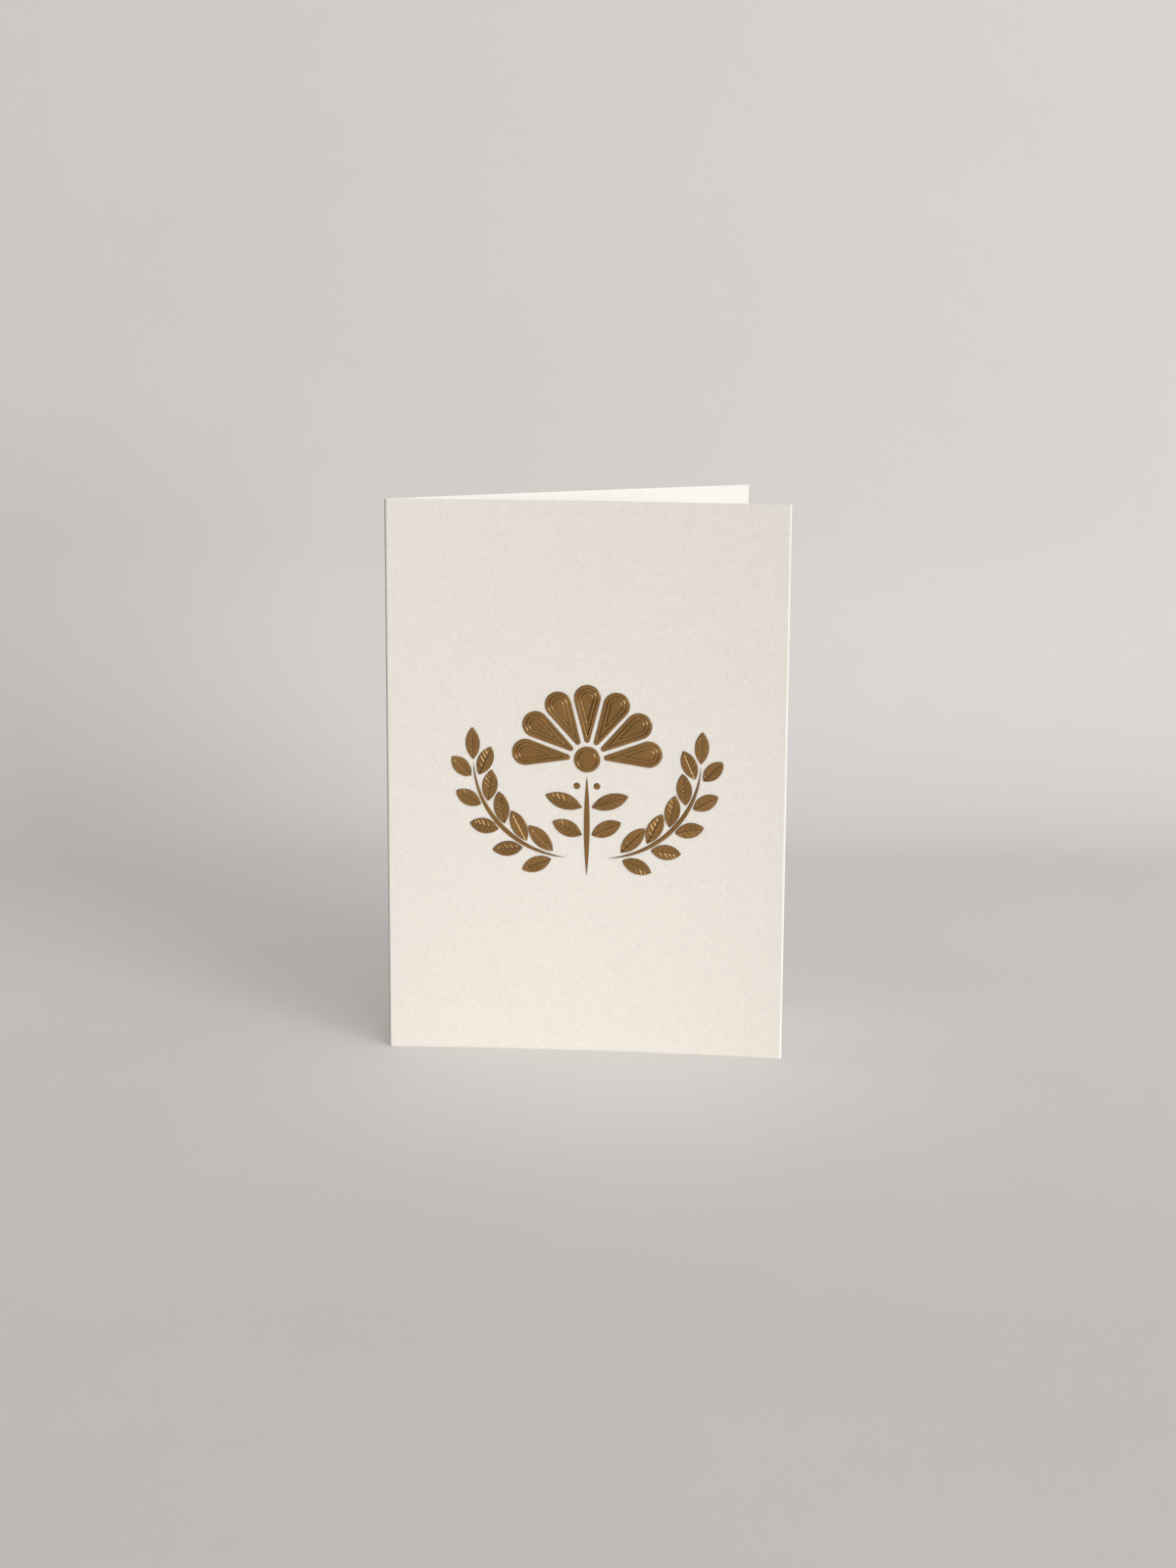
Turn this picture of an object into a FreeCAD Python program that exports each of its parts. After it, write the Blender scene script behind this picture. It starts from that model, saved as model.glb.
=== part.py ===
import FreeCAD, Part
import math
import os

import Sketcher

# A greeting card: one sheet of board folded once at the left, standing open like a V,
# with a raised foil design on the middle of its front leaf.
# Millimetres. +Z is up, the printed front faces -Y and the fold is on the -X side.
# The origin is the middle of the card's box, on the surface that it stands on.

# Driving dimensions: each is an alias in the sheet "sizes"
DIMENSIONS = {
    # folded sheet
    "card_width": 127.0,          # fold to free edge, along the leaf
    "card_height": 177.8,
    "board_thickness": 0.45,
    "fold_radius": 0.15,          # inside radius of the fold
    "front_lean": 1.2,            # degrees that the front leaf leaves the fold towards -Y
    "front_bow": 8.2,             # degrees that the front leaf turns over its width
    "back_spread": 24.3,          # degrees that the back leaf leaves the fold towards +Y
    "back_bow": 2.0,              # degrees that the back leaf turns over its width
    # raised foil
    "foil_rise": 0.25,            # height of the relief above the board
    "engraving_depth": 0.15,      # depth of its pressed lines
    "engraving_width": 0.6,
    "design_offset": 63.5,        # design centre from the fold, along the leaf
    "design_height": 88.9,        # design centre above the foot
    "cutter_depth": 5.0,          # how far the flat outlines run through the curved leaf
    # fan of petals
    "hub_rise": 7.0,              # hub above the design centre
    "hub_radius": 4.2,
    "petal_count": 7,
    "petal_pitch": 28.0,          # degrees from one petal to the next
    "petal_start": 5.4,           # from the hub centre to the petal's root
    "petal_reach": 24.0,          # from the hub centre to the petal's end
    "petal_root_radius": 0.9,
    "petal_gap": 1.0,
    "contour_count": 1,           # pressed lines that follow a petal's outline
    "contour_inset": 1.25,        # outline to the middle of the first one, also on the hub
    "contour_step": 1.15,
    "contour_root_radius": 0.1,   # least radius at the root of a pressed line
    # stem
    "stem_top": 1.8,
    "stem_length": 32.8,
    "stem_width": 1.9,
    "stem_leaf_count": 2,         # leaves on each side of the stem
    "stem_leaf_rise": 22.5,       # top leaf's foot above the stem's foot
    "stem_leaf_step": 9.0,
    "stem_leaf_angle": 18.0,      # degrees above level, top leaf
    "stem_leaf_turn": 6.0,        # degrees steeper for each lower leaf
    "stem_leaf_length": 12.5,
    "stem_leaf_width": 5.2,
    "stem_leaf_taper": 2.0,       # each lower leaf is shorter by this much
    "berry_radius": 1.1,
    "berry_reach": 3.2,           # berry centre from the stem's axis
    "berry_drop": 3.4,            # berry centre below the stem's top
    # side branches
    "branch_radius": 32.0,
    "branch_reach": 4.2,          # centre of the branch's arc from the design's axis
    "branch_rise": 7.0,           # centre of the branch's arc above the design centre
    "branch_start": -86.0,        # degrees, lower end of the arc
    "branch_end": -2.0,           # degrees, upper end of the arc
    "branch_width": 1.5,
    "leaf_pairs": 5,
    "leaf_spread": 34.0,          # degrees between a leaf and its branch
    "leaf_clearance": 0.5,        # from the branch's side to the leaf's foot
    "inner_leaf_length": 11.4,
    "outer_leaf_length": 10.2,
    "leaf_width": 5.0,
    "leaf_taper": 0.35,           # each leaf up the branch is shorter by this much
    "tip_leaf_length": 10.5,
    "tip_leaf_width": 4.6,
    "vein_margin": 0.14,          # share of a leaf left plain at each end of its vein
}

# Sizes worked out from them, in the order in which they are needed
WORKED_OUT = {
    "fold_outside": "fold_radius + board_thickness",
    "leaf_run": "card_width - fold_outside",
    "front_curve": "leaf_run * 180 / (pi * front_bow)",
    "back_curve": "leaf_run * 180 / (pi * back_bow)",
    "front_centre_x": "-(fold_outside + front_curve) * sin(front_lean)",
    "front_centre_y": "-(fold_outside + front_curve) * cos(front_lean)",
    "back_centre_x": "(back_curve - fold_outside) * sin(back_spread)",
    "back_centre_y": "-(back_curve - fold_outside) * cos(back_spread)",
    "right_end": "front_centre_x + (front_curve + board_thickness) * sin(front_lean + front_bow)",
    "near_end": "front_centre_y + front_curve * cos(front_lean + front_bow)",
    "far_end": "back_centre_y + back_curve * cos(back_spread - back_bow)",
    "fold_x": "(fold_outside - right_end) / 2",
    "fold_y": "-(near_end + far_end) / 2",
}

document = FreeCAD.newDocument("greeting_card")


def fill_sheet():
    """The sheet of sizes: plain numbers first, then the worked-out ones as formulas."""
    sheet = document.addObject("Spreadsheet::Sheet", "sizes")
    rows = [(alias, str(number)) for alias, number in DIMENSIONS.items()]
    rows += [(alias, "=" + formula) for alias, formula in WORKED_OUT.items()]
    for row, (alias, content) in enumerate(rows, start=1):
        sheet.set("A%d" % row, alias)
        sheet.set("B%d" % row, content)
        sheet.setAlias("B%d" % row, alias)
    document.recompute()
    return sheet


sizes = fill_sheet()


def size(alias):
    """The present value of one size in the sheet."""
    return float(sizes.get(alias))


def plan_point(centre, radius, degrees):
    """A point at a radius and an angle from a centre, in the plan."""
    turn = math.radians(degrees)
    return centre + FreeCAD.Vector(radius * math.cos(turn), radius * math.sin(turn), 0)


def plan_arc(centre, radius, start_degrees, end_degrees):
    """An arc in the plan, counter-clockwise from its start to its end."""
    circle = Part.Circle(centre, FreeCAD.Vector(0, 0, 1), radius)
    return Part.ArcOfCircle(circle, math.radians(start_degrees), math.radians(end_degrees))


def constrain(sketch, kind, *items):
    """Add one constraint and return its number."""
    return sketch.addConstraint(Sketcher.Constraint(kind, *items))


def drive(sketch, number, name, formula):
    """Name a constraint and tie it to the sheet."""
    sketch.renameConstraint(number, name)
    sketch.setExpression("Constraints." + name, formula)


# The folded sheet
START, END, CENTRE = 1, 2, 3    # the points of a sketch edge
ORIGIN = -1                     # the sketch's own origin


def card_section(sketch):
    """The sheet's edge-on outline: two bowed leaves joined by the round of the fold."""
    fold = FreeCAD.Vector(0, 0, 0)
    front = FreeCAD.Vector(size("front_centre_x"), size("front_centre_y"), 0)
    back = FreeCAD.Vector(size("back_centre_x"), size("back_centre_y"), 0)
    thickness = size("board_thickness")
    inside, outside = size("fold_radius"), size("fold_outside")
    front_curve, back_curve = size("front_curve"), size("back_curve")
    front_start = 90 - size("front_lean")
    front_end = front_start - size("front_bow")
    back_start = 90 + size("back_spread")
    back_end = back_start - size("back_bow")

    def line(first, last):
        return sketch.addGeometry(Part.LineSegment(first, last), False)

    def arc(*values):
        return sketch.addGeometry(plan_arc(*values), False)

    def guide(first, last):
        return sketch.addGeometry(Part.LineSegment(first, last), True)

    fold_out = arc(fold, outside, back_start, front_start + 180)
    fold_in = arc(fold, inside, back_start, front_start + 180)
    front_out = arc(front, front_curve, front_end, front_start)
    front_in = arc(front, front_curve + thickness, front_end, front_start)
    back_out = arc(back, back_curve, back_end, back_start)
    back_in = arc(back, back_curve - thickness, back_end, back_start)
    front_edge = line(plan_point(front, front_curve, front_end),
                      plan_point(front, front_curve + thickness, front_end))
    back_edge = line(plan_point(back, back_curve - thickness, back_end),
                     plan_point(back, back_curve, back_end))

    # The leaves run smoothly into the fold, inside and outside
    constrain(sketch, "Tangent", fold_out, END, front_out, END)
    constrain(sketch, "Tangent", fold_in, END, front_in, END)
    constrain(sketch, "Tangent", fold_out, START, back_out, END)
    constrain(sketch, "Tangent", fold_in, START, back_in, END)
    constrain(sketch, "Coincident", front_out, START, front_edge, START)
    constrain(sketch, "Coincident", front_in, START, front_edge, END)
    constrain(sketch, "Coincident", back_in, START, back_edge, START)
    constrain(sketch, "Coincident", back_out, START, back_edge, END)

    # Both faces of a leaf share one centre, which keeps the sheet equally thick
    constrain(sketch, "Coincident", fold_out, CENTRE, ORIGIN, START)
    constrain(sketch, "Coincident", fold_in, CENTRE, ORIGIN, START)
    constrain(sketch, "Coincident", front_in, CENTRE, front_out, CENTRE)
    constrain(sketch, "Coincident", back_in, CENTRE, back_out, CENTRE)

    drive(sketch, constrain(sketch, "Radius", fold_out, outside), "fold_outside", "sizes.fold_outside")
    drive(sketch, constrain(sketch, "Radius", fold_in, inside), "fold_inside", "sizes.fold_radius")
    drive(sketch, constrain(sketch, "Radius", front_out, front_curve), "front_curve", "sizes.front_curve")
    drive(sketch, constrain(sketch, "Radius", back_out, back_curve), "back_curve", "sizes.back_curve")

    # Guide lines from each centre set where the leaves begin and end
    front_guide = guide(fold, plan_point(fold, outside, front_start + 180))
    constrain(sketch, "Coincident", front_guide, START, fold_out, CENTRE)
    constrain(sketch, "Coincident", front_guide, END, fold_out, END)
    front_angle = constrain(sketch, "Angle", front_guide, math.radians(front_start - 180))
    drive(sketch, front_angle, "front_begins", "-(90 + sizes.front_lean) * 1 deg")

    back_guide = guide(fold, plan_point(fold, outside, back_start))
    constrain(sketch, "Coincident", back_guide, START, fold_out, CENTRE)
    constrain(sketch, "Coincident", back_guide, END, fold_out, START)
    back_angle = constrain(sketch, "Angle", back_guide, math.radians(back_start))
    drive(sketch, back_angle, "back_begins", "(90 + sizes.back_spread) * 1 deg")

    front_stop = guide(front, plan_point(front, front_curve + thickness, front_end))
    constrain(sketch, "Coincident", front_stop, START, front_out, CENTRE)
    constrain(sketch, "Coincident", front_stop, END, front_in, START)
    constrain(sketch, "PointOnObject", front_out, START, front_stop)
    stop_angle = constrain(sketch, "Angle", front_stop, math.radians(front_end))
    drive(sketch, stop_angle, "front_ends", "(90 - sizes.front_lean - sizes.front_bow) * 1 deg")

    back_stop = guide(back, plan_point(back, back_curve, back_end))
    constrain(sketch, "Coincident", back_stop, START, back_out, CENTRE)
    constrain(sketch, "Coincident", back_stop, END, back_out, START)
    constrain(sketch, "PointOnObject", back_in, START, back_stop)
    stop_angle = constrain(sketch, "Angle", back_stop, math.radians(back_end))
    drive(sketch, stop_angle, "back_ends", "(90 + sizes.back_spread - sizes.back_bow) * 1 deg")


def make_folded_card():
    """The whole folded sheet: its section raised to the card's height."""
    body = document.addObject("PartDesign::Body", "folded_card")
    body.Label = "folded_card"
    sketch = body.newObject("Sketcher::SketchObject", "card_section")
    plan = [plane for plane in body.Origin.OriginFeatures if plane.Role == "XY_Plane"][0]
    sketch.AttachmentSupport = [(plan, "")]
    sketch.MapMode = "FlatFace"
    card_section(sketch)
    pad = body.newObject("PartDesign::Pad", "card_sheet")
    pad.Profile = sketch
    pad.setExpression("Length", "sizes.card_height")
    body.setExpression("Placement.Base.x", "sizes.fold_x")
    body.setExpression("Placement.Base.y", "sizes.fold_y")
    return body


# Flat outlines of the foil design, drawn about the design's centre with X across and Z up
def spot(across, up):
    """A point of the flat design, at the front of its cutter."""
    return FreeCAD.Vector(across, -size("cutter_depth"), up)


def ahead(point, degrees, distance):
    """The point at a distance from another one, in a direction measured from +X."""
    turn = math.radians(degrees)
    return point + FreeCAD.Vector(distance * math.cos(turn), 0, distance * math.sin(turn))


def mirrored(point):
    """The same point on the other side of the design's axis."""
    return FreeCAD.Vector(-point.x, point.y, point.z)


def cutter(edges):
    """A solid that carries a closed flat outline right through the leaf."""
    face = Part.Face(Part.Wire(edges))
    return face.extrude(FreeCAD.Vector(0, 2 * size("cutter_depth"), 0))


def leaf(foot, degrees, length, width):
    """A pointed leaf between two equal arcs."""
    tip = ahead(foot, degrees, length)
    middle = ahead(foot, degrees, length / 2)
    left = ahead(middle, degrees + 90, width / 2)
    right = ahead(middle, degrees - 90, width / 2)
    return cutter([Part.Arc(foot, left, tip).toShape(), Part.Arc(tip, right, foot).toShape()])


def vein(foot, degrees, length):
    """The pressed line along the middle of a leaf."""
    margin = size("vein_margin") * length
    start = ahead(foot, degrees, margin)
    return leaf(start, degrees, length - 2 * margin, size("engraving_width"))


def disc(centre, radius):
    """A round spot."""
    circle = Part.Circle(centre, FreeCAD.Vector(0, 1, 0), radius)
    return cutter([circle.toShape()])


def petal(hub, degrees, inset):
    """A petal, moved in from its outline: small round root, large round end, straight sides."""
    half_pitch = math.sin(math.radians(size("petal_pitch") / 2))
    root_radius = size("petal_root_radius")
    end_radius = (size("petal_reach") * half_pitch - size("petal_gap") / 2) / (1 + half_pitch)
    root_distance = size("petal_start") + root_radius
    end_distance = size("petal_reach") - end_radius
    widening = (end_radius - root_radius) / (end_distance - root_distance)
    side = 90 + math.degrees(math.asin(widening))

    # Past the root's own radius, the moved root slides along the petal and keeps a small round
    least_radius = size("contour_root_radius")
    root_distance += max(inset + least_radius - root_radius, 0) / widening
    root_radius = max(root_radius - inset, least_radius)
    end_radius -= inset
    root = ahead(hub, degrees, root_distance)
    end = ahead(hub, degrees, end_distance)
    root_left = ahead(root, degrees + side, root_radius)
    root_right = ahead(root, degrees - side, root_radius)
    end_left = ahead(end, degrees + side, end_radius)
    end_right = ahead(end, degrees - side, end_radius)
    return cutter([
        Part.Arc(end_right, ahead(end, degrees, end_radius), end_left).toShape(),
        Part.LineSegment(end_left, root_left).toShape(),
        Part.Arc(root_left, ahead(root, degrees, -root_radius), root_right).toShape(),
        Part.LineSegment(root_right, end_right).toShape(),
    ])


def fan():
    """The hub and its petals, with pressed lines that follow their outlines."""
    hub = spot(0, size("hub_rise"))
    hub_radius = size("hub_radius")
    count = int(size("petal_count"))
    half_line = size("engraving_width") / 2
    first = size("contour_inset")
    ring = disc(hub, hub_radius - first + half_line).cut(disc(hub, hub_radius - first - half_line))
    shapes = [disc(hub, hub_radius)]
    lines = [ring]
    for number in range(count):
        degrees = 90 + (number - (count - 1) / 2) * size("petal_pitch")
        shapes.append(petal(hub, degrees, 0))
        for contour in range(int(size("contour_count"))):
            inset = first + contour * size("contour_step")
            outside = petal(hub, degrees, inset - half_line)
            lines.append(outside.cut(petal(hub, degrees, inset + half_line)))
    return shapes, lines


def stem():
    """The upright stem, its leaves and the two berries under the hub."""
    foot = spot(0, size("stem_top") - size("stem_length"))
    shapes = [leaf(foot, 90, size("stem_length"), size("stem_width"))]
    lines = []
    for number in range(int(size("stem_leaf_count"))):
        rise = size("stem_leaf_rise") - number * size("stem_leaf_step")
        length = size("stem_leaf_length") - number * size("stem_leaf_taper")
        degrees = size("stem_leaf_angle") + number * size("stem_leaf_turn")
        right = foot + FreeCAD.Vector(size("stem_width") / 2 + size("leaf_clearance"), 0, rise)
        for start, turn in ((right, degrees), (mirrored(right), 180 - degrees)):
            shapes.append(leaf(start, turn, length, size("stem_leaf_width")))
            lines.append(vein(start, turn, length))
    berry = spot(size("berry_reach"), size("stem_top") - size("berry_drop"))
    for centre in (berry, mirrored(berry)):
        shapes.append(disc(centre, size("berry_radius")))
    return shapes, lines


def branch_arc(radius_at_middle):
    """An arc between the branch's two ends that passes at this radius half way."""
    centre = spot(size("branch_reach"), size("branch_rise"))
    lower, upper = size("branch_start"), size("branch_end")
    start = ahead(centre, lower, size("branch_radius"))
    end = ahead(centre, upper, size("branch_radius"))
    middle = ahead(centre, (lower + upper) / 2, radius_at_middle)
    return start, middle, end


def branch():
    """The right-hand branch, tapered to both ends, with its pairs of leaves."""
    half_width = size("branch_width") / 2
    start, outer, end = branch_arc(size("branch_radius") + half_width)
    inner = branch_arc(size("branch_radius") - half_width)[1]
    shapes = [cutter([Part.Arc(start, outer, end).toShape(), Part.Arc(end, inner, start).toShape()])]
    lines = []

    centre = spot(size("branch_reach"), size("branch_rise"))
    lower, upper = size("branch_start"), size("branch_end")
    pairs = int(size("leaf_pairs"))
    standoff = half_width + size("leaf_clearance")
    for number in range(pairs):
        along = lower + (upper - lower) * (number + 0.5) / pairs
        for side, full_length in ((1, size("outer_leaf_length")), (-1, size("inner_leaf_length"))):
            foot = ahead(centre, along, size("branch_radius") + side * standoff)
            degrees = along + 90 - side * size("leaf_spread")
            length = full_length - number * size("leaf_taper")
            shapes.append(leaf(foot, degrees, length, size("leaf_width")))
            lines.append(vein(foot, degrees, length))
    tip = ahead(end, upper + 90, size("leaf_clearance"))
    shapes.append(leaf(tip, upper + 90, size("tip_leaf_length"), size("tip_leaf_width")))
    lines.append(vein(tip, upper + 90, size("tip_leaf_length")))
    return shapes, lines


def both_sides(shapes):
    """Shapes and their mirror images across the design's axis."""
    axis = FreeCAD.Vector(1, 0, 0)
    return shapes + [shape.mirror(FreeCAD.Vector(0, 0, 0), axis) for shape in shapes]


def on_the_leaf(name, shapes):
    """Put flat outlines on the middle of the front leaf, square to it there."""
    feature = document.addObject("Part::Feature", name)
    feature.Shape = shapes[0].fuse(shapes[1:])
    past_fold = size("front_bow") * size("design_offset") / size("card_width")
    lean = size("front_lean") + past_fold
    curve_centre = FreeCAD.Vector(size("front_centre_x"), size("front_centre_y"), 0)
    base = plan_point(curve_centre, size("front_curve"), 90 - lean)
    base += FreeCAD.Vector(size("fold_x"), size("fold_y"), size("design_height"))
    feature.Placement = FreeCAD.Placement(base, FreeCAD.Rotation(FreeCAD.Vector(0, 0, 1), -lean))
    return feature


def leaf_round(name, radius_formula):
    """An upright cylinder about the centre of the front leaf's curve."""
    cylinder = document.addObject("Part::Cylinder", name)
    cylinder.setExpression("Radius", radius_formula)
    cylinder.setExpression("Height", "sizes.card_height")
    cylinder.setExpression("Placement.Base.x", "sizes.fold_x + sizes.front_centre_x")
    cylinder.setExpression("Placement.Base.y", "sizes.fold_y + sizes.front_centre_y")
    return cylinder


def combine(kind, name, base, tool):
    """A boolean of two objects."""
    result = document.addObject(kind, name)
    result.Base = base
    result.Tool = tool
    return result


def make_gold_foil():
    """The raised foil: the design's outlines between the leaf's face and the relief's top."""
    fan_shapes, fan_lines = fan()
    stem_shapes, stem_lines = stem()
    branch_shapes, branch_lines = branch()
    outlines = on_the_leaf("outlines", fan_shapes + stem_shapes + both_sides(branch_shapes))
    pressed_lines = on_the_leaf("pressed_lines", fan_lines + stem_lines + both_sides(branch_lines))

    board_face = leaf_round("board_face", "sizes.front_curve")
    relief_top = leaf_round("relief_top", "sizes.front_curve - sizes.foil_rise")
    engraving_bed = leaf_round(
        "engraving_bed", "sizes.front_curve - sizes.foil_rise + sizes.engraving_depth")

    raised = combine("Part::Common", "raised", outlines, board_face)
    relief = combine("Part::Cut", "relief", raised, relief_top)
    engraving = combine("Part::Common", "engraving", pressed_lines, engraving_bed)
    foil = combine("Part::Cut", "gold_foil", relief, engraving)
    foil.Label = "gold_foil"
    return foil


def check_document():
    """Stop if any object failed."""
    for item in document.Objects:
        if "Invalid" in item.State or "Error" in item.State:
            raise RuntimeError("%s failed: %s" % (item.Name, item.State))


def write_part(part):
    """Check one finished sub-part and write its file."""
    shape = part.Shape
    if shape.isNull() or not shape.isValid() or not shape.Solids:
        raise RuntimeError("%s has no sound solid" % part.Label)
    shape.exportStep("parts/%s.step" % part.Label)
    box = shape.optimalBoundingBox()
    print("%s: %d solids, %.2f mm3, x %.3f to %.3f, y %.3f to %.3f, z %.3f to %.3f" % (
        part.Label, len(shape.Solids), shape.Volume,
        box.XMin, box.XMax, box.YMin, box.YMax, box.ZMin, box.ZMax))


sub_parts = [make_folded_card(), make_gold_foil()]
document.recompute()
check_document()
os.makedirs("parts", exist_ok=True)
for sub_part in sub_parts:
    write_part(sub_part)
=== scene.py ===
import math

import bpy
from mathutils import Matrix, Vector


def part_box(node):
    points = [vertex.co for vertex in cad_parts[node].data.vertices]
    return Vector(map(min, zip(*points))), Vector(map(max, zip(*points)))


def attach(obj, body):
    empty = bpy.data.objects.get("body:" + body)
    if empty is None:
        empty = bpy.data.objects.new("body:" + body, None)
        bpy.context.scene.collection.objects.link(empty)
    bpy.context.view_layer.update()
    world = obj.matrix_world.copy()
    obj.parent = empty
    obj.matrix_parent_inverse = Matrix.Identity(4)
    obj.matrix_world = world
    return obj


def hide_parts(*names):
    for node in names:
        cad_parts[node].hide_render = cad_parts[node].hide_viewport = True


# A folded greeting card standing open, with a raised foil design on its front leaf.
# Blender's own unit is the metre. Sizes written in millimetres are turned into metres
# by MM where a mesh is made, and the card stands as it does in the frame.

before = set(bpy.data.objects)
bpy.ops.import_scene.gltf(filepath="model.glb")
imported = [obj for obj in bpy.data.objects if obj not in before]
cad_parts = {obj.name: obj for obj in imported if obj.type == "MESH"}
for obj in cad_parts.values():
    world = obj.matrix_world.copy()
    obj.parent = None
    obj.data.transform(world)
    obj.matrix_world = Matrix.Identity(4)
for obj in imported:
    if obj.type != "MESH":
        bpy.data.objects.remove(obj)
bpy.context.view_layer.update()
card_low, card_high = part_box("folded_card")

MM = 0.001

# Folded sheet
CARD_WIDTH = 127.0
BOARD_THICKNESS = 0.45
FOLD_RADIUS = 0.15
FRONT_LEAN = 1.2
FRONT_BOW = 8.2
BACK_SPREAD = 24.3
BACK_BOW = 2.0
EDGE_ROUND = 0.08          # radius of the cut edges
ROLLED_EDGE_WIDTH = 0.6    # the front leaf's free edge, rolled back by the cutter
ROLLED_EDGE_DEPTH = 0.34
ROLLED_EDGE_BARE = 0.5     # width of its bare white core

# Where the sheet's mesh rows lie
EDGE_SHARES = (0.0, 0.06, 0.18, 0.36, 0.6, 0.8, 1.0)
PAST_EDGE = 0.12
NEAR_FOLD = 0.15
LEAF_OUTER_MARGIN = 3.0
LEAF_FOLD_MARGIN = 2.0
LEAF_STEPS = 44
FOLD_STEPS = 20
HEIGHT_MARGIN = 4.0
HEIGHT_STEPS = 38

# Foil relief
FOIL_RISE = 0.25
DESIGN_OFFSET = 63.5
DESIGN_HEIGHT = 88.9
SHOULDER = 0.3
OUTLINE_WIDTH = 0.4        # painted shade: the darker rim just inside an outline, fading inwards
LINE_DEPTH = 0.15
LINE_HALF_WIDTH = 0.3
PRESS_LIMIT = 0.6          # deepest press, against the relief's own height there
CONTOUR_LINES = (1.25, 2.4)
VEIN_COUNT = 5
VEIN_SPAN = (0.16, 0.74)   # first and last side vein, as shares of the leaf
VEIN_HALF_WIDTH = 0.26
VEIN_SHARE = 0.6           # side veins against the midrib, in depth
VEIN_SLANT = 0.8           # how far a side vein runs ahead for its distance from the midrib
VEIN_FADE = 5              # side veins fade over the outer fifth of the blade
RIB_FADE = 4               # and the midrib over the last quarter of the leaf

# Where the foil's mesh rows lie: across a pressed line, in from an outline, out from a midrib
GROOVE_STEPS = (-1.1, -0.86, -0.68, -0.5, -0.32, -0.12, 0.12, 0.32, 0.5, 0.68, 0.86, 1.1)
EDGE_STEPS = (0.0, 0.03, 0.09, 0.18, 0.3)
RIB_STEPS = (0.0, 0.05, 0.1, 0.15, 0.2, 0.26, 0.34)
BLADE_LEAST = 0.2          # least room between a leaf's rib rows and edge rows
BLADE_STEPS = 4
TIP_STEP = 0.25

# Fan of petals
HUB_RISE = 7.0
HUB_RADIUS = 4.2
PETAL_COUNT = 7
PETAL_PITCH = 28.0
PETAL_START = 5.4
PETAL_REACH = 24.0
PETAL_ROOT_RADIUS = 0.9
LEAST_ROOT_RADIUS = 0.1
PETAL_GAP = 1.0
PETAL_END_STEPS = 30
PETAL_SIDE_STEPS = 14
PETAL_ROOT_STEPS = 10
PETAL_MIDDLE_START = 0.5   # first ring past the last contour line
PETAL_MIDDLE_STEPS = 4
HUB_SIDES = 72
HUB_MIDDLE_INSETS = (2.0, 2.4, 2.9, 3.5)

# Stem
STEM_TOP = 1.8
STEM_LENGTH = 32.8
STEM_WIDTH = 1.9
STEM_STEPS = 40
STEM_SIDES = 12
STEM_FULLNESS = 0.7        # below one, a stem's section is fuller than a half round
STEM_LEAF_COUNT = 2
STEM_LEAF_RISE = 22.5
STEM_LEAF_STEP = 9.0
STEM_LEAF_ANGLE = 18.0
STEM_LEAF_TURN = 6.0
STEM_LEAF_LENGTH = 12.5
STEM_LEAF_WIDTH = 5.2
STEM_LEAF_TAPER = 2.0
BERRY_RADIUS = 1.1
BERRY_REACH = 3.2
BERRY_DROP = 3.4
BERRY_SIDES = 24
BERRY_STEPS = 7

# Side branches
BRANCH_RADIUS = 32.0
BRANCH_REACH = 4.2
BRANCH_RISE = 7.0
BRANCH_START = -86.0
BRANCH_END = -2.0
BRANCH_WIDTH = 1.5
BRANCH_STEPS = 60
LEAF_PAIRS = 5
LEAF_SPREAD = 34.0
LEAF_CLEARANCE = 0.5
INNER_LEAF_LENGTH = 11.4
OUTER_LEAF_LENGTH = 10.2
LEAF_WIDTH = 5.0
LEAF_TAPER = 0.35
TIP_LEAF_LENGTH = 10.5
TIP_LEAF_WIDTH = 4.6

# Grain shared by the finishes
NOISE_SPAN = (0.3, 0.7)    # noise values that count as darkest and lightest
FINE_GRAIN = 2.7           # the fine grain against the coarse one, in scale
COARSE_SHARE = 0.65        # the coarse grain's share of the height

# Board. A pair is the value in the dark and in the light parts of the grain,
# and a tooth is its depth in metres and its strength
BOARD_COLOUR = (0.885, 0.838, 0.766)
BOARD_SPECKLE = (0.945, 1.035)
BOARD_CLOUD = 0.008
BOARD_ROUGHNESS = (0.9, 0.78)
BOARD_TOOTH = (0.00006, 0.5)
FOLD_SHADE = 0.5           # painted shade on the fold's outer round: the outside is darker at the fold, over this width
FOLD_SHADE_WIDTH = 0.85
INNER_COLOUR = (0.893, 0.879, 0.828)
INNER_SPECKLE = (0.965, 1.02)
INNER_CLOUD = 0.006
INNER_ROUGHNESS = (0.92, 0.8)
FOLD_PAINTED_LIGHT = 1.09      # painted light: the inner side is lighter towards the fold, against the shade there
CORE_COLOUR = (0.92, 0.905, 0.84)
CORE_SPECKLE = (0.95, 1.02)
CORE_ROUGHNESS = (0.95, 0.85)
CORE_TOOTH = (0.00005, 0.6)

# Foil colours by openness, from the outline or the bottom of a pressed line to the open face: painted shade
# in the outline rims and line bottoms, a lighter painted sheen on the slopes, then the open face's own
# colour
FOIL_TONES_WITH_PAINTED_LIGHT = (
    (0.0, (0.09, 0.026, 0.002)),
    (0.18, (0.12, 0.038, 0.004)),
    (0.34, (0.46, 0.275, 0.11)),
    (0.62, (0.46, 0.275, 0.11)),
    (0.9, (0.435, 0.223, 0.066)),
)
FOIL_ROUGHNESS = (0.13, 0.2)
FOIL_TOOTH = (0.000005, 0.5)

# Camera, measured from the card's origin
CAMERA_PLACE = (0.8, -891.0, 268.0)
CAMERA_PITCH = 11.72
CAMERA_ROLL = 0.29
PHOTO_HEIGHT_PIXELS = 1600
FOCAL_LENGTH_PIXELS = 2851
SENSOR_HEIGHT = 36.0

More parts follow.
